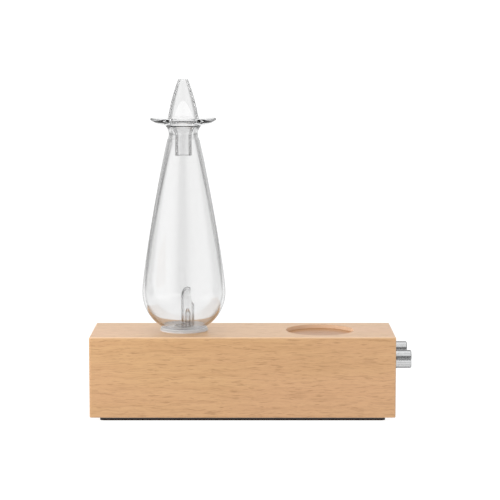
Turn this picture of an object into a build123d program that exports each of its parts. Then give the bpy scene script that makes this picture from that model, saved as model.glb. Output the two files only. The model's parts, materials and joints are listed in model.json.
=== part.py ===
from build123d import *
import os
from math import asin, degrees, radians, tan

# Nebulising essential oil diffuser: a hand-blown glass reservoir on a block of beech that
# holds the air pump, its control board and two rotary controls.
#
# Millimetres, +Z up, +X towards the knobs, +Y towards the back.
# The origin is the middle of the underside, on the surface that the diffuser stands on.

# ---------------------------------------------------------------- driving dimensions
block_length = 210.0
block_depth = 64.0
block_height = 56.0
block_round = 1.0
wall = 9.0
top_wall = 8.0
cavity_corner = 6.0

pad_thickness = 1.0
cover_thickness = 2.0
cover_inset = 6.5
cover_corner = 3.0

glass_x = -41.0
glass_wall = 1.6
foot_radius = 16.4
belly_radius = 29.1
belly_height = 26.6
belly_drop = 28.0
neck_height = 138.0
neck_radius = 10.1
lip_height = 143.0
lip_radius = 12.3
tip_height = 174.8
tip_radius = 3.4
tip_hole_radius = 2.1
collar_radius = 22.7
stem_radius = 5.7
stem_bottom = 121.8
stem_top = 135.5
stub_radius = 6.5
stub_length = 15.3
nozzle_offset = 2.6

rest_x = 54.0
rest_radius = 23.6
rest_depth = 2.5

knob_radius = 6.2
knob_length = 10.8
knob_gap = 0.5
knob_spacing = 36.0
knob_height = 38.6

pump_axis_height = 20.0
motor_radius = 12.2
motor_length = 28.0
motor_front_x = -1.0
pump_head_width = 27.0
crank_offset = 1.5

running_gap = 0.05
slip_gap = 0.1
cross_width = 0.6
cross_depth = 0.8

# ---------------------------------------------------------------- derived levels and planes
block_bottom = pad_thickness + cover_thickness
block_top = block_bottom + block_height
block_end = block_length / 2
block_back = block_depth / 2
cavity_length = block_length - 2 * wall
cavity_depth = block_depth - 2 * wall
cavity_top = block_top - top_wall
cavity_end = cavity_length / 2
cavity_back = cavity_depth / 2
cover_length = block_length - 2 * cover_inset
cover_depth = block_depth - 2 * cover_inset
knob_z = block_bottom + knob_height

# Radius runs along X and height above the wooden top runs along Z in the glass's own plane.
glass_plane = Plane(origin=(glass_x, 0, block_top), x_dir=(1, 0, 0), z_dir=(0, -1, 0))
glass_axis = Axis((glass_x, 0, 0), (0, 0, 1))
nozzle_x = glass_x + nozzle_offset
nozzle_plane = Plane(origin=(nozzle_x, 0, block_top), x_dir=(1, 0, 0), z_dir=(0, -1, 0))
nozzle_left_plane = Plane(origin=(nozzle_x, 0, block_top), x_dir=(-1, 0, 0), z_dir=(0, 1, 0))
nozzle_axis = Axis((nozzle_x, 0, 0), (0, 0, 1))

os.makedirs("parts", exist_ok=True)


def save(piece, label):
    """Labels a finished piece and writes it to its own file."""
    piece.part.label = label
    export_step(piece.part, f"parts/{label}.step")


def draw_cross(span):
    """Draws the cross recess of a screw head."""
    Rectangle(span, cross_width)
    Rectangle(cross_width, span)


def bend_radii(points):
    """One radius for each corner of a route, nearly as large as its two runs allow."""
    radii = []
    for before, corner, after in zip(points, points[1:], points[2:]):
        run_in = Vector(corner) - Vector(before)
        run_out = Vector(after) - Vector(corner)
        half_turn = radians(run_in.get_angle(run_out)) / 2
        radii.append(0.45 * min(run_in.length, run_out.length) / tan(half_turn))
    return radii


def lay_tube(name, points, radius, bore=0.0):
    """Adds a round tube along straight runs that are joined by tangent arcs."""
    radii = bend_radii(points)
    print(name, "bend radii", [round(r, 1) for r in radii])
    with BuildLine() as route:
        FilletPolyline(*points, radius=radii)
    with BuildSketch(Plane(origin=route.line @ 0, z_dir=route.line % 0)) as section:
        Circle(radius)
        if bore:
            Circle(bore, mode=Mode.SUBTRACT)
    sweep(sections=section.sketch, path=route.line)


# ================================================================ glass
foot_base = 0.8
foot_top = 2.2
foot_round = 0.5
floor_top = 3.2
belly_pull = 16.0
neck_flare = 5.0


def reservoir_side(inset, start_height):
    """The bulb's side in the glass plane, moved in by inset: a belly, a shoulder and a lip."""
    widest = belly_radius - inset
    drop = belly_drop - inset
    start_angle = -degrees(asin((belly_height - start_height) / drop))
    belly = EllipticalCenterArc((0, belly_height), widest, drop, start_angle, arc_size=-start_angle)
    shoulder = Bezier(
        belly @ 1,
        (widest, belly_height + belly_pull),
        (neck_radius + 5.1 - inset, neck_height - 21.0),
        (neck_radius + 1.05 - inset, neck_height - neck_flare),
    )
    lip = ThreePointArc(
        shoulder @ 1, (neck_radius - inset, neck_height), (lip_radius - inset, lip_height)
    )
    return belly, lip


jet_radius = 2.0

with BuildPart() as glass_reservoir:
    with BuildSketch(glass_plane):
        with BuildLine():
            outer_belly, outer_lip = reservoir_side(0, foot_top)
            inner_belly, inner_lip = reservoir_side(glass_wall, floor_top)
            Line(outer_lip @ 1, inner_lip @ 1)
            Polyline(outer_belly @ 0, (foot_radius, foot_top), (foot_radius, foot_base))
            Polyline(
                (foot_radius, foot_base),
                (stub_radius, foot_base),
                (stub_radius, foot_base - stub_length),
                (stub_radius - glass_wall, foot_base - stub_length),
                (stub_radius - glass_wall, foot_base),
                (0, foot_base),
                (0, floor_top),
                inner_belly @ 0,
            )
        make_face()
    revolve(axis=glass_axis)
    # The jet tube comes up through the floor, from the space inside the stub.
    with BuildSketch(Plane(origin=(nozzle_x, 0, block_top))):
        Circle(jet_radius)
    extrude(amount=floor_top, mode=Mode.SUBTRACT)
    foot_rim = glass_reservoir.edges().filter_by(GeomType.CIRCLE).filter_by(
        lambda edge: abs(edge.radius - foot_radius) < 0.01
    )
    fillet(foot_rim, radius=foot_round)
save(glass_reservoir, "glass_reservoir")

shroud_radius = 4.5
shroud_bore = 3.5
shroud_height = 24.0
hood_height = 30.4
mouth_height = 18.0
hood_oval = 0.55
hood_wall = 1.0
scoop_top = hood_height + 1.0
scoop_low_pull = (1.6, mouth_height + 1.5)
scoop_high_pull = (1.2, mouth_height + 6.0)
scoop_exit = 2.2
oil_port_radius = 0.8
oil_port_height = 1.5
oil_port_length = 3.0


def hood_side(radius, top):
    """A quarter-oval from the tube's side up to the middle of its hood."""
    return Bezier(
        (radius, shroud_height),
        (radius, shroud_height + hood_oval * (top - shroud_height)),
        (radius * hood_oval, top),
        (0, top),
    )


with BuildPart() as nozzle_shroud:
    # A tube whose top closes in a rounded hood.
    with BuildSketch(nozzle_left_plane):
        with BuildLine():
            outside = hood_side(shroud_radius, hood_height)
            inside = hood_side(shroud_bore, hood_height - hood_wall)
            Line(outside @ 1, inside @ 1)
            Polyline(
                outside @ 0, (shroud_radius, floor_top), (shroud_bore, floor_top), inside @ 0
            )
        make_face()
    revolve(axis=nozzle_axis)
    # The mouth is scooped out of the right-hand side, so that the mist turns sideways.
    with BuildSketch(nozzle_plane):
        with BuildLine():
            lower_lip = Line((shroud_radius + 1, mouth_height), (shroud_radius, mouth_height))
            scoop = Bezier(
                lower_lip @ 1, scoop_low_pull, scoop_high_pull, (scoop_exit, scoop_top)
            )
            Polyline(
                scoop @ 1, (shroud_radius + 1, scoop_top), (shroud_radius + 1, mouth_height)
            )
        make_face()
    extrude(amount=shroud_radius, both=True, mode=Mode.SUBTRACT)
    # Oil runs in through three ports at the foot.
    port_plane = Plane(origin=(nozzle_x, 0, block_top + floor_top + oil_port_height))
    with Locations(port_plane):
        with PolarLocations(shroud_radius - 0.5, 3, start_angle=30):
            Cylinder(oil_port_radius, oil_port_length, rotation=(0, 90, 0), mode=Mode.SUBTRACT)
save(nozzle_shroud, "nozzle_shroud")

jet_bore = 1.1
jet_height = 15.0
jet_taper = 3.5
jet_tip_radius = 0.9
jet_hole_radius = 0.35
jet_tail = 1.5

with BuildPart() as jet_tube:
    with BuildSketch(nozzle_plane):
        with BuildLine():
            Polyline(
                (jet_bore, -jet_tail),
                (jet_radius, -jet_tail),
                (jet_radius, jet_height - jet_taper),
                (jet_tip_radius, jet_height),
                (jet_hole_radius, jet_height),
                (jet_hole_radius, jet_height - jet_taper / 2),
                (jet_bore, jet_height - jet_taper),
                close=True,
            )
        make_face()
    revolve(axis=nozzle_axis)
save(jet_tube, "jet_tube")

stopper_wall = 1.4
seat_height = lip_height + running_gap
cone_base = 147.5
cone_radius = 10.7
cone_middle = (7.2, 163.0)
rim_height = 147.6
saucer_pull = (15.0, 145.6)
rim_drop = 0.6
rim_round = 0.8
seat_outer = 13.0
seat_inner = 10.4
flare_middle = (7.4, 140.2)
inner_flare_middle = (6.0, 141.2)

with BuildPart() as glass_stopper:
    # One closed outline: down the outside, round the stem's open end, and up the inside.
    with BuildSketch(glass_plane):
        with BuildLine():
            cone = ThreePointArc((tip_radius, tip_height), cone_middle, (cone_radius, cone_base))
            saucer = Bezier(
                cone @ 1,
                (cone_radius + 0.4, cone_base - 2.1),
                saucer_pull,
                (collar_radius - rim_round, rim_height + rim_drop),
            )
            rim = ThreePointArc(
                saucer @ 1, (collar_radius, rim_height), (collar_radius - 0.3, rim_height - 1.0)
            )
            underside = Bezier(
                rim @ 1,
                (19.0, rim_height - 3.4),
                (seat_outer + 3.0, seat_height),
                (seat_outer, seat_height),
            )
            seat = Line(underside @ 1, (seat_inner, seat_height))
            flare = ThreePointArc(seat @ 1, flare_middle, (stem_radius, stem_top))
            stem_inside = stem_radius - stopper_wall
            Polyline(
                flare @ 1,
                (stem_radius, stem_bottom),
                (stem_inside, stem_bottom),
                (stem_inside, stem_top),
            )
            inner_flare = ThreePointArc(
                (stem_inside, stem_top), inner_flare_middle, (cone_radius - stopper_wall, cone_base)
            )
            inner_cone = ThreePointArc(
                inner_flare @ 1,
                (cone_middle[0] - stopper_wall, cone_middle[1]),
                (tip_hole_radius, tip_height),
            )
            Line(inner_cone @ 1, cone @ 0)
        make_face()
    revolve(axis=glass_axis)
save(glass_stopper, "glass_stopper")

# ================================================================ seat of the glass
small_screw_radius = 1.25
small_head_radius = 2.4
small_head_height = 1.5
small_screw_cross = 2.6
socket_screw_length = 7.0
gasket_flange_radius = 16.6
sleeve_radius = 9.2
sleeve_end = block_top + foot_base - stub_length - 1.0
socket_bore = sleeve_radius + slip_gap
socket_radius = 11.2
socket_floor = sleeve_end - 4.5
socket_flange_radius = 17.0
socket_bottom_thickness = 2.0
socket_flange_thickness = 2.0
socket_screw_circle = 14.2
barb_height = sleeve_end - 2.4
barb_radius = 1.7
barb_bore = 0.9
barb_length = 5.5

with BuildPart() as seat_gasket:
    with BuildSketch(Plane(origin=(glass_x, 0, block_top))):
        Circle(gasket_flange_radius)
    extrude(amount=foot_base)
    with BuildSketch(Plane(origin=(glass_x, 0, sleeve_end))):
        Circle(sleeve_radius)
    extrude(amount=block_top - sleeve_end)
    with BuildSketch(Plane(origin=(glass_x, 0, sleeve_end))):
        Circle(stub_radius + slip_gap)
    extrude(amount=block_top, mode=Mode.SUBTRACT)
save(seat_gasket, "seat_gasket")

with BuildPart() as glass_socket:
    with BuildSketch(Plane(origin=(glass_x, 0, socket_floor - socket_bottom_thickness))):
        Circle(socket_radius)
    extrude(amount=cavity_top - socket_floor + socket_bottom_thickness)
    with BuildSketch(Plane(origin=(glass_x, 0, cavity_top))):
        Circle(socket_flange_radius)
    extrude(amount=-socket_flange_thickness)
    with BuildSketch(Plane(origin=(glass_x, 0, socket_floor))):
        Circle(socket_bore)
    extrude(amount=cavity_top - socket_floor, mode=Mode.SUBTRACT)
    with BuildSketch(Plane(origin=(glass_x, 0, cavity_top))):
        with PolarLocations(socket_screw_circle, 3):
            Circle(small_screw_radius + running_gap)
    extrude(amount=-socket_flange_thickness, mode=Mode.SUBTRACT)
    # The barb for the air tube points away from the pump.
    barb_plane = Plane(
        origin=(glass_x - socket_bore - 0.4, 0, barb_height), x_dir=(0, 1, 0), z_dir=(-1, 0, 0)
    )
    with BuildSketch(barb_plane):
        Circle(barb_radius)
    extrude(amount=socket_radius - socket_bore + barb_length)
    with BuildSketch(barb_plane.offset(-2.0)):
        Circle(barb_bore)
    extrude(amount=barb_length + 5.0, mode=Mode.SUBTRACT)
save(glass_socket, "glass_socket")

with BuildPart() as socket_screws:
    with BuildSketch(Plane(origin=(glass_x, 0, cavity_top - socket_flange_thickness))):
        with PolarLocations(socket_screw_circle, 3):
            Circle(small_head_radius)
    extrude(amount=-small_head_height)
    with BuildSketch(Plane(origin=(glass_x, 0, cavity_top - socket_flange_thickness))):
        with PolarLocations(socket_screw_circle, 3):
            Circle(small_screw_radius)
    extrude(amount=socket_screw_length)
    with BuildSketch(
        Plane(origin=(glass_x, 0, cavity_top - socket_flange_thickness - small_head_height))
    ):
        with PolarLocations(socket_screw_circle, 3):
            draw_cross(small_screw_cross)
    extrude(amount=cross_depth, mode=Mode.SUBTRACT)
save(socket_screws, "socket_screws")

# ================================================================ wooden block
nut_pocket_radius = 7.0
nut_pocket_depth = 3.5
bushing_hole_radius = 4.2
bracket_screw_heights = (knob_z - 4.0, knob_z + 4.0)
bracket_screw_length = 8.0
bracket_thickness = 1.2
jack_x = 62.0
jack_z = 22.0
jack_body_radius = 4.1
jack_flange_radius = 6.0
jack_flange_thickness = 2.0
post_radius = 5.9
post_height = 14.0
post_spots = [
    (sx * (cavity_end - cavity_corner), sy * (cavity_back - cavity_corner))
    for sx in (-1, 1)
    for sy in (-1, 1)
]

with BuildPart() as wood_base:
    with BuildSketch(Plane.XY.offset(block_bottom)):
        Rectangle(block_length, block_depth)
    extrude(amount=block_height)
    fillet(wood_base.edges(), radius=block_round)
    # Hollow for the works, milled from below.
    with BuildSketch(Plane.XY.offset(block_bottom)):
        RectangleRounded(cavity_length, cavity_depth, cavity_corner)
    extrude(amount=cavity_top - block_bottom, mode=Mode.SUBTRACT)
    # Its right-hand end is squared out, so that the controls and their bracket fit.
    with BuildSketch(Plane.XY.offset(block_bottom)):
        with Locations((cavity_end - cavity_corner, 0)):
            RectangleRounded(2 * cavity_corner, cavity_depth, 0.5)
    extrude(amount=cavity_top - block_bottom, mode=Mode.SUBTRACT)
    # Shallow round rest for an oil bottle, or for the stopper while the glass is filled.
    with BuildSketch(Plane(origin=(rest_x, 0, block_top - rest_depth))):
        Circle(rest_radius)
    extrude(amount=rest_depth, mode=Mode.SUBTRACT)
    # Hole for the gasket's sleeve, and pilot holes for the socket's screws.
    with BuildSketch(Plane(origin=(glass_x, 0, cavity_top))):
        Circle(sleeve_radius + slip_gap)
    extrude(amount=top_wall, mode=Mode.SUBTRACT)
    with BuildSketch(Plane(origin=(glass_x, 0, cavity_top))):
        with PolarLocations(socket_screw_circle, 3):
            Circle(small_screw_radius)
    extrude(amount=socket_screw_length - socket_flange_thickness, mode=Mode.SUBTRACT)
    # Two control holes in the right-hand end, each with a pocket inside for its nut.
    with BuildSketch(Plane.YZ.offset(cavity_end)):
        with Locations((-knob_spacing / 2, knob_z), (knob_spacing / 2, knob_z)):
            Circle(nut_pocket_radius)
    extrude(amount=nut_pocket_depth, mode=Mode.SUBTRACT)
    with BuildSketch(Plane.YZ.offset(cavity_end)):
        with Locations((-knob_spacing / 2, knob_z), (knob_spacing / 2, knob_z)):
            Circle(bushing_hole_radius)
    extrude(amount=wall, mode=Mode.SUBTRACT)
    with BuildSketch(Plane.YZ.offset(cavity_end)):
        with Locations([(0, z) for z in bracket_screw_heights]):
            Circle(small_screw_radius)
    extrude(amount=bracket_screw_length - bracket_thickness, mode=Mode.SUBTRACT)
    # Power inlet hole in the back, counterbored so that the inlet's flange is flush.
    with BuildSketch(Plane.XZ.offset(-block_back)):
        with Locations((jack_x, jack_z)):
            Circle(jack_body_radius + slip_gap)
    extrude(amount=wall, mode=Mode.SUBTRACT)
    with BuildSketch(Plane.XZ.offset(-block_back)):
        with Locations((jack_x, jack_z)):
            Circle(jack_flange_radius + slip_gap)
    extrude(amount=jack_flange_thickness, mode=Mode.SUBTRACT)
save(wood_base, "wood_base")

insert_radius = 2.2
insert_length = 8.0
cover_screw_radius = 1.25
cover_screw_head_radius = 2.8
cover_screw_length = 8.0
cover_screw_cross = 3.0

with BuildPart() as corner_posts:
    with BuildSketch(Plane.XY.offset(block_bottom)):
        with Locations(post_spots):
            Circle(post_radius)
            Circle(insert_radius, mode=Mode.SUBTRACT)
    extrude(amount=post_height)
save(corner_posts, "corner_posts")

with BuildPart() as threaded_inserts:
    with BuildSketch(Plane.XY.offset(block_bottom)):
        with Locations(post_spots):
            Circle(insert_radius)
            Circle(cover_screw_radius, mode=Mode.SUBTRACT)
    extrude(amount=insert_length)
save(threaded_inserts, "threaded_inserts")

# ================================================================ underside
board_x = 60.5
board_length = 46.0
board_depth = 40.0
board_z = block_bottom + 6.0
board_thickness = 1.6
board_boss_radius = 2.8
tapping_radius = 1.0
board_spots = [
    (board_x + sx * (board_length / 2 - 4.0), sy * (board_depth / 2 - 7.0))
    for sx in (-1, 1)
    for sy in (-1, 1)
]

strap_x = 13.0
strap_width = 10.0
strap_thickness = 0.8
strap_foot_reach = 20.5
strap_screw_y = 17.0
strap_boss_height = 3.0
strap_spots = [(strap_x, -strap_screw_y), (strap_x, strap_screw_y)]

inlet_x = -70.0
inlet_size = 20.0
inlet_hole_radius = 1.3
inlet_pitch = 5.0
filter_size = 18.0
filter_height = 4.0
frame_wall = 1.2

with BuildPart() as bottom_cover:
    with BuildSketch(Plane.XY.offset(pad_thickness)):
        RectangleRounded(cover_length, cover_depth, cover_corner)
    extrude(amount=cover_thickness)
    # Bosses for the control board and for the pump's strap.
    with BuildSketch(Plane.XY.offset(block_bottom)):
        with Locations(board_spots):
            Circle(board_boss_radius)
    extrude(amount=board_z - block_bottom)
    with BuildSketch(Plane.XY.offset(block_bottom)):
        with Locations(strap_spots):
            Circle(board_boss_radius)
    extrude(amount=strap_boss_height)
    with BuildSketch(Plane.XY.offset(block_bottom - 1.2)):
        with Locations(board_spots + strap_spots):
            Circle(tapping_radius)
    extrude(amount=board_z, mode=Mode.SUBTRACT)
    # Frame that holds the foam over the air inlet.
    with BuildSketch(Plane.XY.offset(block_bottom)):
        with Locations((inlet_x, 0)):
            Rectangle(filter_size + 2 * frame_wall, filter_size + 2 * frame_wall)
            Rectangle(filter_size + 2 * slip_gap, filter_size + 2 * slip_gap, mode=Mode.SUBTRACT)
    extrude(amount=filter_height)
    with BuildSketch(Plane.XY.offset(pad_thickness)):
        with Locations((inlet_x, 0)):
            with GridLocations(inlet_pitch, inlet_pitch, 3, 3):
                Circle(inlet_hole_radius)
    extrude(amount=cover_thickness, mode=Mode.SUBTRACT)
    # Countersunk holes for the four screws that hold the cover.
    with Locations([Location((x, y, pad_thickness), (180, 0, 0)) for x, y in post_spots]):
        CounterSinkHole(
            radius=cover_screw_radius + 0.3,
            counter_sink_radius=cover_screw_head_radius + 0.2,
            depth=cover_thickness,
        )
save(bottom_cover, "bottom_cover")

head_drop = cover_screw_head_radius - cover_screw_radius

with BuildPart() as cover_screws:
    with BuildSketch(Plane.XY.offset(pad_thickness)):
        with Locations(post_spots):
            Circle(cover_screw_head_radius)
    extrude(amount=head_drop, taper=45)
    with BuildSketch(Plane.XY.offset(pad_thickness)):
        with Locations(post_spots):
            Circle(cover_screw_radius)
    extrude(amount=cover_screw_length)
    with BuildSketch(Plane.XY.offset(pad_thickness)):
        with Locations(post_spots):
            draw_cross(cover_screw_cross)
    extrude(amount=cross_depth, mode=Mode.SUBTRACT)
save(cover_screws, "cover_screws")

screw_access_radius = 3.6

with BuildPart() as base_pad:
    with BuildSketch():
        RectangleRounded(cover_length, cover_depth, cover_corner)
        with Locations(post_spots):
            Circle(screw_access_radius, mode=Mode.SUBTRACT)
        # Air channel from the back edge to the inlet.
        with Locations((inlet_x, cover_depth / 4 - inlet_size / 4)):
            Rectangle(inlet_size, cover_depth / 2 + inlet_size / 2, mode=Mode.SUBTRACT)
    extrude(amount=pad_thickness)
save(base_pad, "base_pad")

with BuildPart() as air_filter:
    with BuildSketch(Plane.XY.offset(block_bottom)):
        with Locations((inlet_x, 0)):
            RectangleRounded(filter_size, filter_size, 0.8)
    extrude(amount=filter_height + 1.0)
save(air_filter, "air_filter")

# ================================================================ rotary controls
shaft_radius = 3.0
shaft_flat = 2.5
shaft_inner_x = 88.0
shaft_outer_x = block_end + 9.0
control_front_x = cavity_end - bracket_thickness
control_length = 10.0
control_width = 9.5
control_body_height = 11.5
control_corner = 1.0
bushing_radius = 3.5
bushing_length = 7.2
grub_x = block_end + 5.0
grub_radius = 1.25
groove_count = 24
groove_radius = 0.25
knob_chamfer = 0.5
plain_collar = 1.0
pointer_length = 3.2
pointer_width = 0.9
pointer_depth = 0.4
socket_hexagon = 0.75
socket_depth = 1.5


def build_knob(y):
    """A grooved aluminium knob on one control's axis, bored for the shaft and its grub screw."""
    axis = Axis((0, y, knob_z), (1, 0, 0))
    side = Plane(origin=(block_end, y, knob_z), x_dir=(1, 0, 0), z_dir=(0, -1, 0))
    start = knob_gap
    end = knob_gap + knob_length
    bore_end = shaft_outer_x - block_end
    with BuildPart() as knob:
        with BuildSketch(side):
            with BuildLine():
                Polyline(
                    (start, shaft_radius),
                    (start, knob_radius - 0.2),
                    (start + 0.2, knob_radius),
                    (end - knob_chamfer, knob_radius),
                    (end, knob_radius - knob_chamfer),
                    (end, 0),
                    (bore_end, 0),
                    (bore_end, shaft_radius),
                    close=True,
                )
            make_face()
        revolve(axis=axis)
        with BuildSketch(Plane.YZ.offset(block_end + start + plain_collar)):
            with Locations((y, knob_z)):
                with PolarLocations(knob_radius + groove_radius / 2, groove_count):
                    Circle(groove_radius)
        extrude(amount=knob_length, mode=Mode.SUBTRACT)
        # A short groove in the end face points to the setting.
        with BuildSketch(Plane.YZ.offset(block_end + end)):
            with Locations((y, knob_z + knob_radius * 0.6)):
                SlotOverall(pointer_length, pointer_width, rotation=90)
        extrude(amount=-pointer_depth, mode=Mode.SUBTRACT)
        with BuildSketch(Plane.XY.offset(knob_z - knob_radius - 1.0)):
            with Locations((grub_x, y)):
                Circle(grub_radius)
        extrude(amount=knob_radius + 1.0 - shaft_flat, mode=Mode.SUBTRACT)
    return knob


def build_shaft(y):
    """The control's steel shaft, with a flat underneath for the grub screw."""
    with BuildPart() as shaft:
        with BuildSketch(Plane.YZ.offset(shaft_inner_x)):
            with Locations((y, knob_z)):
                Circle(shaft_radius)
        extrude(amount=shaft_outer_x - shaft_inner_x)
        with BuildSketch(Plane.YZ.offset(block_end + 1.0)):
            with Locations((y, knob_z - shaft_flat)):
                Rectangle(2 * shaft_radius, 1.0, align=(Align.CENTER, Align.MAX))
        extrude(amount=shaft_outer_x - block_end, mode=Mode.SUBTRACT)
    return shaft


def build_grub_screw(y):
    """A headless screw with a hexagon socket, hidden in the knob's underside."""
    outer_z = knob_z - knob_radius + 0.5
    with BuildPart() as screw:
        with BuildSketch(Plane.XY.offset(outer_z)):
            with Locations((grub_x, y)):
                Circle(grub_radius)
        extrude(amount=knob_z - shaft_flat - outer_z)
        with BuildSketch(Plane.XY.offset(outer_z)):
            with Locations((grub_x, y)):
                RegularPolygon(socket_hexagon, 6)
        extrude(amount=socket_depth, mode=Mode.SUBTRACT)
    return screw


knob_sides = {"output": -knob_spacing / 2, "timer": knob_spacing / 2}
for knob_name, knob_y in knob_sides.items():
    save(build_knob(knob_y), f"{knob_name}_knob")
    save(build_shaft(knob_y), f"{knob_name}_shaft")
    save(build_grub_screw(knob_y), f"{knob_name}_grub_screw")

control_spots = [(y, knob_z) for y in knob_sides.values()]
pin_pitch = 2.5
pin_length = 4.0
pin_width = 0.9
pin_thickness = 0.5
bracket_height = 16.0
bracket_corner = 2.0
washer_radius = 5.6
washer_thickness = 0.5
nut_thickness = 2.2
nut_across = 10.0

with BuildPart() as control_bodies:
    with BuildSketch(Plane.YZ.offset(control_front_x - control_length)):
        with Locations(control_spots):
            RectangleRounded(control_width, control_body_height, control_corner)
    extrude(amount=control_length)
    with BuildSketch(Plane.YZ.offset(shaft_inner_x - slip_gap)):
        with Locations(control_spots):
            Circle(shaft_radius + running_gap)
    extrude(amount=control_length, mode=Mode.SUBTRACT)
save(control_bodies, "control_bodies")

with BuildPart() as control_bushings:
    with BuildSketch(Plane.YZ.offset(control_front_x)):
        with Locations(control_spots):
            Circle(bushing_radius)
            Circle(shaft_radius + running_gap, mode=Mode.SUBTRACT)
    extrude(amount=bushing_length)
save(control_bushings, "control_bushings")

with BuildPart() as control_washers:
    with BuildSketch(Plane.YZ.offset(cavity_end)):
        with Locations(control_spots):
            Circle(washer_radius)
            Circle(bushing_radius, mode=Mode.SUBTRACT)
    extrude(amount=washer_thickness)
save(control_washers, "control_washers")

with BuildPart() as control_nuts:
    with BuildSketch(Plane.YZ.offset(cavity_end + washer_thickness)):
        with Locations(control_spots):
            RegularPolygon(nut_across / 2, 6, major_radius=False)
            Circle(bushing_radius, mode=Mode.SUBTRACT)
    extrude(amount=nut_thickness)
save(control_nuts, "control_nuts")

with BuildPart() as control_pins:
    with BuildSketch(Plane.YZ.offset(control_front_x - control_length)):
        with Locations(control_spots):
            with GridLocations(pin_pitch, pin_pitch, 3, 1):
                Rectangle(pin_width, pin_thickness)
    extrude(amount=-pin_length)
save(control_pins, "control_pins")

with BuildPart() as control_bracket:
    with BuildSketch(Plane.YZ.offset(control_front_x)):
        with Locations((0, knob_z)):
            RectangleRounded(cavity_depth - 1.0, bracket_height, bracket_corner)
        with Locations(control_spots):
            Circle(bushing_radius, mode=Mode.SUBTRACT)
        with Locations([(0, z) for z in bracket_screw_heights]):
            Circle(small_screw_radius + slip_gap, mode=Mode.SUBTRACT)
    extrude(amount=bracket_thickness)
save(control_bracket, "control_bracket")

with BuildPart() as bracket_screws:
    with BuildSketch(Plane.YZ.offset(control_front_x)):
        with Locations([(0, z) for z in bracket_screw_heights]):
            Circle(small_head_radius)
    extrude(amount=-small_head_height)
    with BuildSketch(Plane.YZ.offset(control_front_x)):
        with Locations([(0, z) for z in bracket_screw_heights]):
            Circle(small_screw_radius)
    extrude(amount=bracket_screw_length)
    with BuildSketch(Plane.YZ.offset(control_front_x - small_head_height)):
        with Locations([(0, z) for z in bracket_screw_heights]):
            draw_cross(small_screw_cross)
    extrude(amount=cross_depth, mode=Mode.SUBTRACT)
save(bracket_screws, "bracket_screws")

# ================================================================ power inlet
jack_length = 16.0
jack_socket_radius = 2.75
jack_socket_depth = 10.0
jack_pin_radius = 1.0
jack_rear_y = block_back - jack_length
jack_nut_across = 11.0
jack_blade_length = 4.0
jack_blade_gap = 3.0
jack_blade_thickness = 0.5
jack_blade_width = 1.8
jack_pin_inset = 1.5

with BuildPart() as dc_jack:
    with BuildSketch(Plane.XZ.offset(-block_back)):
        with Locations((jack_x, jack_z)):
            Circle(jack_flange_radius)
    extrude(amount=jack_flange_thickness)
    with BuildSketch(Plane.XZ.offset(-block_back)):
        with Locations((jack_x, jack_z)):
            Circle(jack_body_radius)
    extrude(amount=jack_length)
    with BuildSketch(Plane.XZ.offset(-block_back)):
        with Locations((jack_x, jack_z)):
            Circle(jack_socket_radius)
    extrude(amount=jack_socket_depth, mode=Mode.SUBTRACT)
    with BuildSketch(Plane.XZ.offset(-jack_rear_y)):
        with Locations((jack_x, jack_z)):
            Circle(jack_pin_radius)
    extrude(amount=-jack_length, mode=Mode.SUBTRACT)
save(dc_jack, "dc_jack")

with BuildPart() as dc_jack_pin:
    with BuildSketch(Plane.XZ.offset(-jack_rear_y)):
        with Locations((jack_x, jack_z)):
            Circle(jack_pin_radius)
    extrude(amount=jack_rear_y - block_back + jack_pin_inset)
save(dc_jack_pin, "dc_jack_pin")

with BuildPart() as dc_jack_nut:
    with BuildSketch(Plane.XZ.offset(-cavity_back)):
        with Locations((jack_x, jack_z)):
            RegularPolygon(jack_nut_across / 2, 6, major_radius=False)
            Circle(jack_body_radius, mode=Mode.SUBTRACT)
    extrude(amount=nut_thickness)
save(dc_jack_nut, "dc_jack_nut")

with BuildPart() as dc_jack_blades:
    with BuildSketch(Plane.XZ.offset(-jack_rear_y)):
        with Locations((jack_x - jack_blade_gap, jack_z), (jack_x + jack_blade_gap, jack_z)):
            Rectangle(jack_blade_thickness, jack_blade_width)
    extrude(amount=jack_blade_length)
save(dc_jack_blades, "dc_jack_blades")

# ================================================================ control board
board_top = board_z + board_thickness
connector_length = 9.0
connector_depth = 5.0
connector_height = 7.0
pump_connector = (46.5, 0.0)
power_connector = (jack_x, 2.0)
control_connector_x = 80.0
control_connector_y = 5.5
timer_chip_spot = (69.0, -8.0)
driver_chip_spot = (56.0, -9.0)
chip_height = 1.7
capacitor_height = 11.0
capacitor_round = 0.6
wire_radius = 0.6

with BuildPart() as control_board:
    with BuildSketch(Plane.XY.offset(board_z)):
        with Locations((board_x, 0)):
            RectangleRounded(board_length, board_depth, 1.5)
        with Locations(board_spots):
            Circle(tapping_radius + slip_gap, mode=Mode.SUBTRACT)
    extrude(amount=board_thickness)
save(control_board, "control_board")

with BuildPart() as controller_chips:
    with BuildSketch(Plane.XY.offset(board_top)):
        with Locations(timer_chip_spot):
            Rectangle(9.9, 5.0)
        with Locations(driver_chip_spot):
            Rectangle(6.5, 6.1)
    extrude(amount=chip_height)
save(controller_chips, "controller_chips")

with BuildPart() as capacitors:
    with BuildSketch(Plane.XY.offset(board_top)):
        with Locations((53.0, 8.0)):
            Circle(4.0)
        with Locations((73.0, 11.0)):
            Circle(3.15)
    extrude(amount=capacitor_height)
    fillet(capacitors.faces().group_by(Axis.Z)[-1].edges(), radius=capacitor_round)
save(capacitors, "capacitors")

with BuildPart() as wire_connectors:
    with BuildSketch(Plane.XY.offset(board_top)):
        with Locations(pump_connector):
            Rectangle(connector_depth, connector_length)
        with Locations(power_connector):
            Rectangle(connector_length, connector_depth)
        with Locations(
            (control_connector_x, -control_connector_y), (control_connector_x, control_connector_y)
        ):
            Rectangle(connector_depth, connector_length)
    extrude(amount=connector_height)
save(wire_connectors, "wire_connectors")

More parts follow.
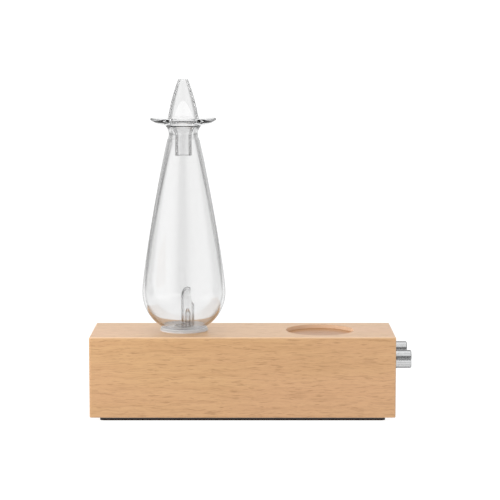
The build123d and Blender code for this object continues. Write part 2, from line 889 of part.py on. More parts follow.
# ================================================================ air pump
cover_x = motor_front_x - 26.0
valve_x = cover_x + 5.0
diaphragm_x = valve_x + 3.5
case_x = diaphragm_x + 1.5
chamber_radius = 7.0
chamber_depth = 2.5
valve_circle = 4.6
valve_hole_radius = 0.8
head_bore = 11.3
head_screw_offset = 10.3
head_screw_radius = 1.0
head_screw_length = 19.0
head_screw_head_radius = 1.9
fine_head_height = 1.3
fine_screw_cross = 2.2
cup_circle = 6.4
cup_radius = 3.4
cup_depth = 5.0
cup_wall = 0.9
cup_taper = 8
cup_stud_radius = 1.2
yoke_x = case_x + cup_depth + 1.0
yoke_thickness = 2.0
yoke_hub_radius = 4.6
yoke_arm_width = 3.6
yoke_pad_radius = 2.2
crank_pin_radius = 1.0
eccentric_x = yoke_x + yoke_thickness + 0.8
eccentric_length = 3.5
eccentric_radius = 5.0
crank_socket_depth = 2.0
shaft_start_x = eccentric_x + crank_socket_depth + 0.2
motor_shaft_radius = 1.0
bush_radius = 3.0
case_back_wall = 1.5
head_spots = [
    (sy * head_screw_offset, pump_axis_height + sz * head_screw_offset)
    for sy in (-1, 1)
    for sz in (-1, 1)
]


def draw_head_slice():
    """Draws the square outline of the pump's head, with its four screw holes."""
    with Locations((0, pump_axis_height)):
        RectangleRounded(pump_head_width, pump_head_width, 4.0)
    with Locations(head_spots):
        Circle(head_screw_radius, mode=Mode.SUBTRACT)


with BuildPart() as pump_cover:
    with BuildSketch(Plane.YZ.offset(cover_x)):
        draw_head_slice()
    extrude(amount=valve_x - cover_x)
    # Chamber that gathers the air behind the outlet.
    with BuildSketch(Plane.YZ.offset(valve_x)):
        with Locations((0, pump_axis_height)):
            Circle(chamber_radius)
    extrude(amount=-chamber_depth, mode=Mode.SUBTRACT)
    with BuildSketch(Plane.YZ.offset(cover_x)):
        with Locations((0, pump_axis_height)):
            Circle(barb_radius)
    extrude(amount=-barb_length)
    with BuildSketch(Plane.YZ.offset(cover_x - barb_length)):
        with Locations((0, pump_axis_height)):
            Circle(barb_bore)
    extrude(amount=barb_length + 3.0, mode=Mode.SUBTRACT)
save(pump_cover, "pump_cover")

with BuildPart() as valve_plate:
    with BuildSketch(Plane.YZ.offset(valve_x)):
        draw_head_slice()
        with Locations((0, pump_axis_height)):
            with PolarLocations(valve_circle, 3):
                Circle(valve_hole_radius, mode=Mode.SUBTRACT)
    extrude(amount=diaphragm_x - valve_x)
save(valve_plate, "valve_plate")

with BuildPart() as diaphragm:
    with BuildSketch(Plane.YZ.offset(diaphragm_x)):
        draw_head_slice()
    extrude(amount=case_x - diaphragm_x)
    # Three cups, pushed in turn by the yoke.
    with BuildSketch(Plane.YZ.offset(case_x)):
        with Locations((0, pump_axis_height)):
            with PolarLocations(cup_circle, 3):
                Circle(cup_radius)
    extrude(amount=cup_depth, taper=cup_taper)
    with BuildSketch(Plane.YZ.offset(diaphragm_x)):
        with Locations((0, pump_axis_height)):
            with PolarLocations(cup_circle, 3):
                Circle(cup_radius - cup_wall)
    extrude(amount=cup_depth, taper=cup_taper, mode=Mode.SUBTRACT)
    with BuildSketch(Plane.YZ.offset(case_x + cup_depth)):
        with Locations((0, pump_axis_height)):
            with PolarLocations(cup_circle, 3):
                Circle(cup_stud_radius)
    extrude(amount=yoke_x - case_x - cup_depth)
save(diaphragm, "diaphragm")

with BuildPart() as pump_case:
    with BuildSketch(Plane.YZ.offset(case_x)):
        draw_head_slice()
    extrude(amount=motor_front_x - case_x)
    with BuildSketch(Plane.YZ.offset(case_x)):
        with Locations((0, pump_axis_height)):
            Circle(head_bore)
    extrude(amount=motor_front_x - case_x - case_back_wall, mode=Mode.SUBTRACT)
    with BuildSketch(Plane.YZ.offset(motor_front_x)):
        with Locations((0, pump_axis_height)):
            Circle(bush_radius + slip_gap)
    extrude(amount=-2 * case_back_wall, mode=Mode.SUBTRACT)
    # Two air intakes in the top of the case.
    with BuildSketch(Plane.XY.offset(pump_axis_height)):
        with Locations((case_x + 9.0, -4.0), (case_x + 9.0, 4.0)):
            Circle(1.0)
    extrude(amount=pump_head_width, mode=Mode.SUBTRACT)
save(pump_case, "pump_case")

with BuildPart() as pump_screws:
    with BuildSketch(Plane.YZ.offset(cover_x)):
        with Locations(head_spots):
            Circle(head_screw_head_radius)
    extrude(amount=-fine_head_height)
    with BuildSketch(Plane.YZ.offset(cover_x)):
        with Locations(head_spots):
            Circle(head_screw_radius)
    extrude(amount=head_screw_length)
    with BuildSketch(Plane.YZ.offset(cover_x - fine_head_height)):
        with Locations(head_spots):
            draw_cross(fine_screw_cross)
    extrude(amount=cross_depth, mode=Mode.SUBTRACT)
save(pump_screws, "pump_screws")

with BuildPart() as yoke:
    # The hole is open enough for the crank pin's whole circle.
    with BuildSketch(Plane.YZ.offset(yoke_x)):
        with Locations((0, pump_axis_height)):
            Circle(yoke_hub_radius)
            with PolarLocations(cup_circle / 2, 3):
                Rectangle(cup_circle, yoke_arm_width)
            with PolarLocations(cup_circle, 3):
                Circle(yoke_pad_radius)
            Circle(crank_offset + crank_pin_radius + 0.4, mode=Mode.SUBTRACT)
    extrude(amount=yoke_thickness)
save(yoke, "yoke")

crank_pin_lead = 0.5

with BuildPart() as crank_pin:
    with BuildSketch(Plane.YZ.offset(yoke_x - crank_pin_lead)):
        with Locations((0, pump_axis_height + crank_offset)):
            Circle(crank_pin_radius)
    extrude(amount=eccentric_x + crank_socket_depth - yoke_x + crank_pin_lead)
save(crank_pin, "crank_pin")

with BuildPart() as eccentric:
    with BuildSketch(Plane.YZ.offset(eccentric_x)):
        with Locations((0, pump_axis_height)):
            Circle(eccentric_radius)
    extrude(amount=eccentric_length)
    with BuildSketch(Plane.YZ.offset(eccentric_x)):
        with Locations((0, pump_axis_height + crank_offset)):
            Circle(crank_pin_radius)
    extrude(amount=crank_socket_depth, mode=Mode.SUBTRACT)
    with BuildSketch(Plane.YZ.offset(shaft_start_x)):
        with Locations((0, pump_axis_height)):
            Circle(motor_shaft_radius)
    extrude(amount=eccentric_length, mode=Mode.SUBTRACT)
save(eccentric, "eccentric")

# ================================================================ motor
can_wall = 1.0
can_round = 0.8
front_plate = 1.5
end_cap_thickness = 3.0
can_end_x = motor_front_x + motor_length
shaft_stop_x = can_end_x + 1.5
magnet_inner = 9.2
magnet_outer = motor_radius - can_wall
magnet_length = 18.0
magnet_gap = 9.0
armature_radius = 8.6
armature_length = 15.0
slot_depth = 5.0
slot_width = 1.6
magnet_x = motor_front_x + front_plate + 3.0
brush_offset = 6.0
terminal_thickness = 0.5
terminal_height = 2.4
cap_step = 2.0
terminal_spots = [(-brush_offset, pump_axis_height), (brush_offset, pump_axis_height)]

with BuildPart() as motor_can:
    with BuildSketch(Plane.YZ.offset(motor_front_x)):
        with Locations((0, pump_axis_height)):
            Circle(motor_radius)
    extrude(amount=motor_length)
    with BuildSketch(Plane.YZ.offset(motor_front_x + front_plate)):
        with Locations((0, pump_axis_height)):
            Circle(motor_radius - can_wall)
    extrude(amount=motor_length, mode=Mode.SUBTRACT)
    with BuildSketch(Plane.YZ.offset(motor_front_x)):
        with Locations((0, pump_axis_height)):
            Circle(bush_radius)
    extrude(amount=front_plate, mode=Mode.SUBTRACT)
    # Rounded shoulder round the closed front.
    front_edges = motor_can.edges().filter_by(GeomType.CIRCLE).group_by(Axis.X)[0]
    fillet(front_edges.sort_by(Edge.length)[-1], radius=can_round)
save(motor_can, "motor_can")

with BuildPart() as motor_bush:
    with BuildSketch(Plane.YZ.offset(motor_front_x)):
        with Locations((0, pump_axis_height)):
            Circle(bush_radius)
            Circle(motor_shaft_radius + running_gap, mode=Mode.SUBTRACT)
    extrude(amount=front_plate + 1.0)
save(motor_bush, "motor_bush")

with BuildPart() as motor_magnets:
    with BuildSketch(Plane.YZ.offset(magnet_x)):
        with Locations((0, pump_axis_height)):
            Circle(magnet_outer)
            Circle(magnet_inner, mode=Mode.SUBTRACT)
            Rectangle(4 * motor_radius, magnet_gap, mode=Mode.SUBTRACT)
    extrude(amount=magnet_length)
save(motor_magnets, "motor_magnets")

with BuildPart() as motor_armature:
    with BuildSketch(Plane.YZ.offset(magnet_x + 1.5)):
        with Locations((0, pump_axis_height)):
            Circle(armature_radius)
            Circle(motor_shaft_radius, mode=Mode.SUBTRACT)
            with PolarLocations(armature_radius, 3):
                Rectangle(2 * slot_depth, slot_width, mode=Mode.SUBTRACT)
    extrude(amount=armature_length)
save(motor_armature, "motor_armature")

with BuildPart() as motor_end_cap:
    with BuildSketch(Plane.YZ.offset(can_end_x)):
        with Locations((0, pump_axis_height)):
            Circle(motor_radius - 0.4)
    extrude(amount=cap_step)
    with BuildSketch(Plane.YZ.offset(can_end_x)):
        with Locations((0, pump_axis_height)):
            Circle(motor_radius - can_wall)
    extrude(amount=cap_step - end_cap_thickness)
    with BuildSketch(Plane.YZ.offset(can_end_x - end_cap_thickness)):
        with Locations((0, pump_axis_height)):
            Circle(motor_shaft_radius + running_gap)
    extrude(amount=shaft_stop_x + 0.2 - can_end_x + end_cap_thickness, mode=Mode.SUBTRACT)
    with BuildSketch(Plane.YZ.offset(can_end_x - 1.0)):
        with Locations(terminal_spots):
            Rectangle(terminal_thickness, terminal_height)
    extrude(amount=end_cap_thickness, mode=Mode.SUBTRACT)
save(motor_end_cap, "motor_end_cap")

terminal_end_x = can_end_x + 6.0

with BuildPart() as motor_terminals:
    with BuildSketch(Plane.YZ.offset(can_end_x - 1.0)):
        with Locations(terminal_spots):
            Rectangle(terminal_thickness, terminal_height)
    extrude(amount=terminal_end_x - can_end_x + 1.0)
save(motor_terminals, "motor_terminals")

with BuildPart() as motor_shaft:
    with BuildSketch(Plane.YZ.offset(shaft_start_x)):
        with Locations((0, pump_axis_height)):
            Circle(motor_shaft_radius)
    extrude(amount=shaft_stop_x - shaft_start_x)
save(motor_shaft, "motor_shaft")

cradle_length = 16.0
cradle_width = 22.0
cradle_height = 11.0

with BuildPart() as pump_cradle:
    with BuildSketch(Plane(origin=(strap_x, 0, block_bottom))):
        Rectangle(cradle_length, cradle_width)
    extrude(amount=cradle_height)
    with BuildSketch(Plane.YZ.offset(strap_x)):
        with Locations((0, pump_axis_height)):
            Circle(motor_radius)
    extrude(amount=cradle_length, both=True, mode=Mode.SUBTRACT)
save(pump_cradle, "pump_cradle")

strap_foot_z = block_bottom + strap_boss_height
strap_outer = motor_radius + strap_thickness

with BuildPart() as pump_strap:
    # A band over the motor that comes down both sides to a pair of feet.
    with BuildSketch(Plane.YZ.offset(strap_x - strap_width / 2)):
        with Locations((0, pump_axis_height)):
            Circle(strap_outer)
        with Locations((0, strap_foot_z)):
            Rectangle(
                2 * strap_outer, pump_axis_height - strap_foot_z, align=(Align.CENTER, Align.MIN)
            )
            Rectangle(2 * strap_foot_reach, strap_thickness, align=(Align.CENTER, Align.MIN))
        with Locations((0, pump_axis_height)):
            Circle(motor_radius, mode=Mode.SUBTRACT)
        with Locations((0, strap_foot_z)):
            Rectangle(
                2 * motor_radius,
                pump_axis_height - strap_foot_z,
                align=(Align.CENTER, Align.MIN),
                mode=Mode.SUBTRACT,
            )
    extrude(amount=strap_width)
    with BuildSketch(Plane.XY.offset(strap_foot_z)):
        with Locations(strap_spots):
            Circle(tapping_radius + slip_gap)
    extrude(amount=strap_thickness, mode=Mode.SUBTRACT)
save(pump_strap, "pump_strap")

tapping_head_radius = 2.0
tapping_length = 4.8

with BuildPart() as tapping_screws:
    # The same screw holds the board to its bosses and the strap to its own.
    screw_levels = {board_top: board_spots, strap_foot_z + strap_thickness: strap_spots}
    for level, spots in screw_levels.items():
        with BuildSketch(Plane.XY.offset(level)):
            with Locations(spots):
                Circle(tapping_head_radius)
        extrude(amount=fine_head_height)
        with BuildSketch(Plane.XY.offset(level)):
            with Locations(spots):
                Circle(tapping_radius)
        extrude(amount=-tapping_length)
        with BuildSketch(Plane.XY.offset(level + fine_head_height)):
            with Locations(spots):
                draw_cross(fine_screw_cross)
        extrude(amount=-cross_depth, mode=Mode.SUBTRACT)
save(tapping_screws, "tapping_screws")

# ================================================================ air tube and wires
tube_radius = 3.0
tube_bore = barb_radius + 0.05
tube_start_x = cover_x - 0.4
tube_end_x = glass_x - socket_radius - 0.4

with BuildPart() as air_tube:
    # From the pump's outlet it swings round the left-hand end and climbs to the socket.
    air_route = [
        (tube_start_x, 0, pump_axis_height),
        (-46, 0, pump_axis_height),
        (-66, -9, 20.5),
        (-90, -9, 25),
        (-90, 7, 37),
        (-74, 7, 42.5),
        (-63, 0, barb_height),
        (tube_end_x, 0, barb_height),
    ]
    lay_tube("air_tube", air_route, tube_radius, tube_bore)
save(air_tube, "air_tube")

connector_top = board_top + connector_height


def build_wire(name, points):
    """One insulated wire."""
    with BuildPart() as wire:
        lay_tube(name, points, wire_radius)
    return wire


for wire_name, wire_y in {"motor_wire_red": brush_offset, "motor_wire_black": -brush_offset}.items():
    wire_points = [
        (terminal_end_x, wire_y, pump_axis_height),
        (terminal_end_x + 5, wire_y, pump_axis_height),
        (terminal_end_x + 8, wire_y / 2, pump_axis_height + 4),
        (pump_connector[0], wire_y / 3, connector_top + 5),
        (pump_connector[0], wire_y / 3, connector_top),
    ]
    save(build_wire(wire_name, wire_points), wire_name)

for wire_name, wire_side in {"power_wire_red": 1, "power_wire_black": -1}.items():
    wire_x = jack_x + wire_side * jack_blade_gap
    wire_points = [
        (wire_x, jack_rear_y - jack_blade_length, jack_z),
        (wire_x, jack_rear_y - jack_blade_length - 4, jack_z),
        (wire_x - wire_side * 1.5, power_connector[1], connector_top + 4),
        (wire_x - wire_side * 1.5, power_connector[1], connector_top),
    ]
    save(build_wire(wire_name, wire_points), wire_name)

pin_tip_x = control_front_x - control_length - pin_length
turn_in = control_connector_y / (knob_spacing / 2)

with BuildPart() as control_wires:
    # Three wires run from each control's pins down to its connector on the board.
    for knob_y in knob_sides.values():
        for step in (-1, 0, 1):
            start_y = knob_y + step * pin_pitch
            end_y = knob_y * turn_in + step * pin_pitch
            wire_points = [
                (pin_tip_x, start_y, knob_z),
                (pin_tip_x - 6, start_y, knob_z),
                (pin_tip_x - 7, (start_y + end_y) / 2, knob_z - 11),
                (control_connector_x, end_y, connector_top + 5),
                (control_connector_x, end_y, connector_top),
            ]
            lay_tube("control_wires", wire_points, wire_radius)
save(control_wires, "control_wires")
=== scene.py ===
import json
import math

import bmesh
import bpy
from mathutils import Matrix, Vector


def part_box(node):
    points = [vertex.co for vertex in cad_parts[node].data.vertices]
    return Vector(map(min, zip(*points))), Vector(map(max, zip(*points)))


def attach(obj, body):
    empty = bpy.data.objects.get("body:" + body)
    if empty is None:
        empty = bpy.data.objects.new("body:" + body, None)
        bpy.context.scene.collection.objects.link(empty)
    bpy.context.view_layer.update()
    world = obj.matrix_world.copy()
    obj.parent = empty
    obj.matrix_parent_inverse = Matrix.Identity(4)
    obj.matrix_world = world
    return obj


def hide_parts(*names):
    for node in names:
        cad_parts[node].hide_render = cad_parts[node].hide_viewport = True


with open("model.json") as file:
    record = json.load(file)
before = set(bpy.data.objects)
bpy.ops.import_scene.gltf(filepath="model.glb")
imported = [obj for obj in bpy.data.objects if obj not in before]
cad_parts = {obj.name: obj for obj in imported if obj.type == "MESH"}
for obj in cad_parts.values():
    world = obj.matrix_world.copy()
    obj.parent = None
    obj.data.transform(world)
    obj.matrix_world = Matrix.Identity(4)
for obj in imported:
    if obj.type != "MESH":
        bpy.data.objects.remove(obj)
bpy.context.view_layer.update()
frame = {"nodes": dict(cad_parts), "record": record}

# The looks of the essential oil diffuser: clear blown glass on a block of beech.
# Outlines are in millimetres about each glass piece's own axis, with heights above the block's
# top; everything else is in metres.
MM = 0.001

block_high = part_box("wood_base")[1]
stopper_low, stopper_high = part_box("glass_stopper")
shroud_low, shroud_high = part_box("nozzle_shroud")
glass_axis = Vector(((stopper_low.x + stopper_high.x) / 2, 0, block_high.z))
nozzle_axis = Vector(((shroud_low.x + shroud_high.x) / 2, 0, block_high.z))


# ---------------------------------------------------------------- outlines
def spaced(start, end, steps):
    """Evenly spaced numbers from start to end, both included."""
    return [start + (end - start) * i / steps for i in range(steps + 1)]


def bezier(p0, p1, p2, p3, steps):
    """Points along a cubic Bezier curve."""
    points = []
    for t in spaced(0, 1, steps):
        weights = ((1 - t) ** 3, 3 * t * (1 - t) ** 2, 3 * t * t * (1 - t), t ** 3)
        corners = (p0, p1, p2, p3)
        points.append(tuple(sum(w * p[k] for w, p in zip(weights, corners)) for k in (0, 1)))
    return points


def arc_through(start, middle, end, steps):
    """Points along the circular arc that passes through three points."""
    (ax, ay), (bx, by), (cx, cy) = start, middle, end
    d = 2 * (ax * (by - cy) + bx * (cy - ay) + cx * (ay - by))
    a2, b2, c2 = ax * ax + ay * ay, bx * bx + by * by, cx * cx + cy * cy
    ux = (a2 * (by - cy) + b2 * (cy - ay) + c2 * (ay - by)) / d
    uy = (a2 * (cx - bx) + b2 * (ax - cx) + c2 * (bx - ax)) / d
    radius = math.hypot(ax - ux, ay - uy)
    first = math.atan2(ay - uy, ax - ux)
    mid = (math.atan2(by - uy, bx - ux) - first) % math.tau
    last = (math.atan2(cy - uy, cx - ux) - first) % math.tau
    if mid > last:
        last -= math.tau
    return [(ux + radius * math.cos(first + a), uy + radius * math.sin(first + a))
            for a in spaced(0, last, steps)]


def round_end(start, end, bulge, steps=8):
    """A rounded rim from start to end that stands out by bulge to the right of the line."""
    middle = Vector(((start[0] + end[0]) / 2, (start[1] + end[1]) / 2))
    along = Vector((end[0] - start[0], end[1] - start[1])).normalized()
    crown = middle + bulge * Vector((along.y, -along.x))
    return arc_through(start, tuple(crown), end, steps)


# ---------------------------------------------------------------- meshes
TURNS = 160


def finished(mesh_builder, name, body, sharp_angle=40.0):
    """Turns a bmesh into a smooth-shaded object that rides on a body."""
    bmesh.ops.remove_doubles(mesh_builder, verts=mesh_builder.verts, dist=1e-7)
    bmesh.ops.recalc_face_normals(mesh_builder, faces=mesh_builder.faces)
    mesh = bpy.data.meshes.new(name)
    mesh_builder.to_mesh(mesh)
    mesh_builder.free()
    mesh.shade_smooth()
    mesh.set_sharp_from_angle(angle=math.radians(sharp_angle))
    piece = bpy.data.objects.new(name, mesh)
    bpy.context.scene.collection.objects.link(piece)
    if body:
        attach(piece, body)
    return piece


def lathe(outline, axis, turns=TURNS):
    """A bmesh of a closed outline in millimetres, (radius, height), turned about a vertical axis."""
    builder = bmesh.new()
    rings = []
    for turn in range(turns):
        angle = math.tau * turn / turns
        spoke = Vector((math.cos(angle), math.sin(angle), 0))
        rings.append([
            builder.verts.new(axis + spoke * radius * MM + Vector((0, 0, height * MM)))
            for radius, height in outline
        ])
    count = len(outline)
    for turn in range(turns):
        here, there = rings[turn], rings[(turn + 1) % turns]
        for i in range(count):
            j = (i + 1) % count
            if outline[i][0] > 0 or outline[j][0] > 0:
                builder.faces.new((here[i], there[i], there[j], here[j]))
    return builder


def prism(outline, axis, half_depth):
    """A bmesh of an outline in the XZ plane, in millimetres, made thick along Y."""
    builder = bmesh.new()
    sides = [
        [builder.verts.new(axis + Vector((x * MM, y * MM, z * MM))) for x, z in outline]
        for y in (-half_depth, half_depth)
    ]
    builder.faces.new(sides[0])
    builder.faces.new(reversed(sides[1]))
    for i in range(len(outline)):
        j = (i + 1) % len(outline)
        builder.faces.new((sides[0][j], sides[0][i], sides[1][i], sides[1][j]))
    return builder


def rod(centre, direction, radius, length, turns=32):
    """A bmesh of a round rod, in millimetres about centre in metres, used as a drill."""
    builder = bmesh.new()
    turn_to = Vector((0, 0, 1)).rotation_difference(direction).to_matrix().to_4x4()
    bmesh.ops.create_cone(
        builder, cap_ends=True, segments=turns,
        radius1=radius * MM, radius2=radius * MM, depth=length * MM,
        matrix=Matrix.Translation(centre) @ turn_to,
    )
    return builder


def cut(piece, cutters, sharp_angle=40.0):
    """Cuts each cutter's shape out of a piece and throws the cutters away."""
    for index, builder in enumerate(cutters):
        cutter = finished(builder, f"{piece.name}_cutter_{index}", None)
        knife = piece.modifiers.new("cut", "BOOLEAN")
        knife.operation = "DIFFERENCE"
        knife.solver = "EXACT"
        knife.object = cutter
        bpy.context.view_layer.update()
        evaluated = piece.evaluated_get(bpy.context.evaluated_depsgraph_get())
        cut_mesh = bpy.data.meshes.new_from_object(evaluated)
        piece.modifiers.clear()
        piece.data = cut_mesh
        bpy.data.objects.remove(cutter)
    piece.data.shade_smooth()
    piece.data.set_sharp_from_angle(angle=math.radians(sharp_angle))


# ---------------------------------------------------------------- glass
GLASS_WALL = 1.6
FOOT_RADIUS = 16.4
FOOT_BASE = 0.85
FOOT_TOP = 2.2
FLOOR_TOP = 3.2
FOOT_ROUND = 0.5
FOOT_FILLET = 0.6
BELLY_RADIUS = 29.1
BELLY_HEIGHT = 26.6
BELLY_DROP = 28.0
NECK_RADIUS = 10.1
NECK_HEIGHT = 138.0
LIP_RADIUS = 12.3
LIP_HEIGHT = 142.6
LIP_BULGE = 0.35
STUB_RADIUS = 6.5
STUB_END = -14.5
STUB_RIM_BULGE = 0.4
NECK_BLEND = 5.0
NECK_BLEND_RADIUS = NECK_RADIUS + 1.05
BELLY_PULL = 16.0
SHOULDER_PULL_RADIUS = NECK_RADIUS + 5.1
SHOULDER_PULL_DROP = 21.0
JET_HOLE_RADIUS = 2.05
JET_HOLE_LENGTH = 4.0


def reservoir_side(inset, start_height):
    """The bulb's side, moved in by inset: an elliptical belly, a long shoulder and a flared lip."""
    widest = BELLY_RADIUS - inset
    drop = BELLY_DROP - inset
    lowest = -math.asin((BELLY_HEIGHT - start_height) / drop)
    belly = [(widest * math.cos(a), BELLY_HEIGHT + drop * math.sin(a))
             for a in spaced(lowest, 0, 28)]
    shoulder = bezier(
        belly[-1],
        (widest, BELLY_HEIGHT + BELLY_PULL),
        (SHOULDER_PULL_RADIUS - inset, NECK_HEIGHT - SHOULDER_PULL_DROP),
        (NECK_BLEND_RADIUS - inset, NECK_HEIGHT - NECK_BLEND),
        40,
    )
    lip = arc_through(
        shoulder[-1], (NECK_RADIUS - inset, NECK_HEIGHT), (LIP_RADIUS - inset, LIP_HEIGHT), 14
    )
    return belly + shoulder[1:] + lip[1:]


def build_reservoir():
    """The bulb with its flat foot and the stub below it, as one wall of blown glass."""
    outside = reservoir_side(0, FOOT_TOP + FOOT_FILLET)
    inside = reservoir_side(GLASS_WALL, FLOOR_TOP)
    inside.reverse()
    stub_inside = STUB_RADIUS - GLASS_WALL
    foot_edge = FOOT_RADIUS - FOOT_ROUND
    outline = [(0, FOOT_BASE), (stub_inside, FOOT_BASE)]
    outline += round_end((stub_inside, STUB_END), (STUB_RADIUS, STUB_END), STUB_RIM_BULGE)
    outline += [(STUB_RADIUS, FOOT_BASE)]
    outline += bezier(
        (foot_edge, FOOT_BASE), (FOOT_RADIUS, FOOT_BASE),
        (FOOT_RADIUS, FOOT_TOP), (foot_edge, FOOT_TOP), 8,
    )
    bulb_radius = outside[0][0]
    outline += bezier(
        (foot_edge - FOOT_FILLET / 2, FOOT_TOP), (bulb_radius + 0.35, FOOT_TOP),
        (bulb_radius, FOOT_TOP + FOOT_FILLET / 3), outside[0], 5,
    )
    outline += outside[1:]
    outline += round_end(outside[-1], inside[0], LIP_BULGE)[1:-1]
    outline += inside
    outline += [(0, FLOOR_TOP)]
    piece = finished(lathe(outline, glass_axis), "blown_reservoir", "reservoir")
    jet_hole_centre = nozzle_axis + Vector((0, 0, FOOT_TOP * MM))
    cut(piece, [rod(jet_hole_centre, Vector((0, 0, 1)), JET_HOLE_RADIUS, JET_HOLE_LENGTH)])
    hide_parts("glass_reservoir")
    return piece


COLLAR_RADIUS = 22.7
COLLAR_TOP = 148.2
CONE_RADIUS = 10.7
CONE_WALL = 1.4
CONE_BASE = 147.5
CONE_MIDDLE = 163.0
CONE_MIDDLE_RADIUS = 7.2
TIP_RADIUS = 3.4
TIP_BORE = 2.1
TIP_HEIGHT = 174.4
SAUCER_PULLS = ((11.1, 145.4), (15.0, 145.6))
SEAT_HEIGHT = 143.05
SEAT_OUTER = 13.0
SEAT_INNER = 10.4
UNDERSIDE_PULLS = ((19.0, 144.2), (16.0, SEAT_HEIGHT))
FLARE_MIDDLE = (7.4, 140.2)
INNER_FLARE_MIDDLE = (6.0, 141.2)
STEM_RADIUS = 5.7
STEM_TOP = 135.5
STEM_END = 122.2
RIM_BULGE = 0.4


def build_stopper():
    """The hollow cone, its saucer-shaped collar and the stem that hangs in the neck."""
    stem_inside = STEM_RADIUS - CONE_WALL
    collar_edge = (COLLAR_RADIUS - 0.8, COLLAR_TOP)
    collar_under = (COLLAR_RADIUS - 0.3, COLLAR_TOP - 1.6)
    cone_middle = (CONE_MIDDLE_RADIUS, CONE_MIDDLE)
    cone = arc_through((TIP_RADIUS, TIP_HEIGHT), cone_middle, (CONE_RADIUS, CONE_BASE), 28)
    saucer = bezier(cone[-1], *SAUCER_PULLS, collar_edge, 20)
    rim = arc_through(collar_edge, (COLLAR_RADIUS, COLLAR_TOP - 0.6), collar_under, 8)
    underside = bezier(collar_under, *UNDERSIDE_PULLS, (SEAT_OUTER, SEAT_HEIGHT), 16)
    flare = arc_through((SEAT_INNER, SEAT_HEIGHT), FLARE_MIDDLE, (STEM_RADIUS, STEM_TOP), 12)
    stem_rim = round_end((STEM_RADIUS, STEM_END), (stem_inside, STEM_END), RIM_BULGE)
    cone_inside = (CONE_RADIUS - CONE_WALL, CONE_BASE)
    inner_flare = arc_through((stem_inside, STEM_TOP + 0.6), INNER_FLARE_MIDDLE, cone_inside, 14)
    middle_inside = (CONE_MIDDLE_RADIUS - CONE_WALL, CONE_MIDDLE)
    inner_cone = arc_through(cone_inside, middle_inside, (TIP_BORE, TIP_HEIGHT), 28)
    tip_rim = round_end(inner_cone[-1], cone[0], -RIM_BULGE)
    outline = cone + saucer[1:] + rim[1:] + underside[1:] + flare + stem_rim
    outline += inner_flare + inner_cone[1:] + tip_rim[1:-1]
    piece = finished(lathe(outline, glass_axis), "blown_stopper", "stopper")
    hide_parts("glass_stopper")
    return piece


SHROUD_RADIUS = 4.5
SHROUD_BORE = 3.5
SHROUD_HEIGHT = 24.0
HOOD_HEIGHT = 30.4
HOOD_WALL = 1.0
HOOD_ROUNDNESS = 0.55
STANDING_GAP = 0.05
MOUTH_HEIGHT = 18.0
MOUTH_PULLS = ((1.6, 19.5), (1.2, 24.0))
MOUTH_TOP_RADIUS = 2.2
PORT_RADIUS = 0.8
PORT_LENGTH = 3.0
PORT_HEIGHT = 1.5
PORT_ANGLES = (30, 150, 270)


def hood_side(radius, top):
    """A quarter-oval from the tube's side up to the middle of its hood."""
    return bezier(
        (radius, SHROUD_HEIGHT),
        (radius, SHROUD_HEIGHT + HOOD_ROUNDNESS * (top - SHROUD_HEIGHT)),
        (radius * HOOD_ROUNDNESS, top),
        (0, top),
        20,
    )


def build_shroud():
    """The nozzle's outer tube: a hooded top, a scooped mouth and three ports at its foot."""
    base = FLOOR_TOP + STANDING_GAP
    outside = hood_side(SHROUD_RADIUS, HOOD_HEIGHT)
    inside = hood_side(SHROUD_BORE, HOOD_HEIGHT - HOOD_WALL)
    inside.reverse()
    outline = [(SHROUD_RADIUS, z) for z in spaced(base, SHROUD_HEIGHT, 12)] + outside[1:]
    outline += inside + [(SHROUD_BORE, z) for z in spaced(SHROUD_HEIGHT, base, 12)][1:]
    piece = finished(lathe(outline, nozzle_axis, 96), "nozzle_hood", "reservoir")
    reach = SHROUD_RADIUS + 1
    scoop_top = HOOD_HEIGHT + 1
    scoop_end = (MOUTH_TOP_RADIUS, scoop_top)
    scoop = bezier((SHROUD_RADIUS, MOUTH_HEIGHT), *MOUTH_PULLS, scoop_end, 24)
    mouth = [(reach, MOUTH_HEIGHT)] + scoop + [(reach, scoop_top)]
    cutters = [prism(mouth, nozzle_axis, reach)]
    mid_wall = (SHROUD_RADIUS + SHROUD_BORE) / 2
    for angle in PORT_ANGLES:
        spoke = Vector((math.cos(math.radians(angle)), math.sin(math.radians(angle)), 0))
        port = nozzle_axis + spoke * mid_wall * MM + Vector((0, 0, (FLOOR_TOP + PORT_HEIGHT) * MM))
        cutters.append(rod(port, spoke, PORT_RADIUS, PORT_LENGTH))
    cut(piece, cutters)
    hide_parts("nozzle_shroud")
    return piece


JET_RADIUS = 2.0
JET_BORE = 1.1
JET_FOOT = -1.5
JET_SHOULDER = 11.0
JET_TAPER = ((JET_RADIUS, 11.2), (JET_RADIUS, 12.2), (0.95, 14.2), (0.9, 14.8))
JET_TIP = 14.85
JET_TIP_CROWN = (0.62, 15.0)
JET_TIP_RADIUS = 0.88
JET_TIP_BORE = 0.37
JET_THROAT = (0.35, 13.4)
JET_FUNNEL = ((0.38, 13.1), (0.5, 12.4), (JET_BORE, 12.2), (JET_BORE, 11.6))


def build_jet():
    """The nozzle's inner tube, drawn down to a fine tip."""
    outline = [(JET_BORE, z) for z in spaced(JET_SHOULDER + 0.5, JET_FOOT, 8)]
    outline += [(JET_RADIUS, z) for z in spaced(JET_FOOT, JET_SHOULDER, 8)]
    outline += bezier(*JET_TAPER, 10)
    outline += arc_through((JET_TIP_RADIUS, JET_TIP), JET_TIP_CROWN, (JET_TIP_BORE, JET_TIP), 5)
    outline += [JET_THROAT]
    outline += bezier(*JET_FUNNEL, 6)
    piece = finished(lathe(outline, nozzle_axis, 64), "drawn_jet", "reservoir")
    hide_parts("jet_tube")
    return piece


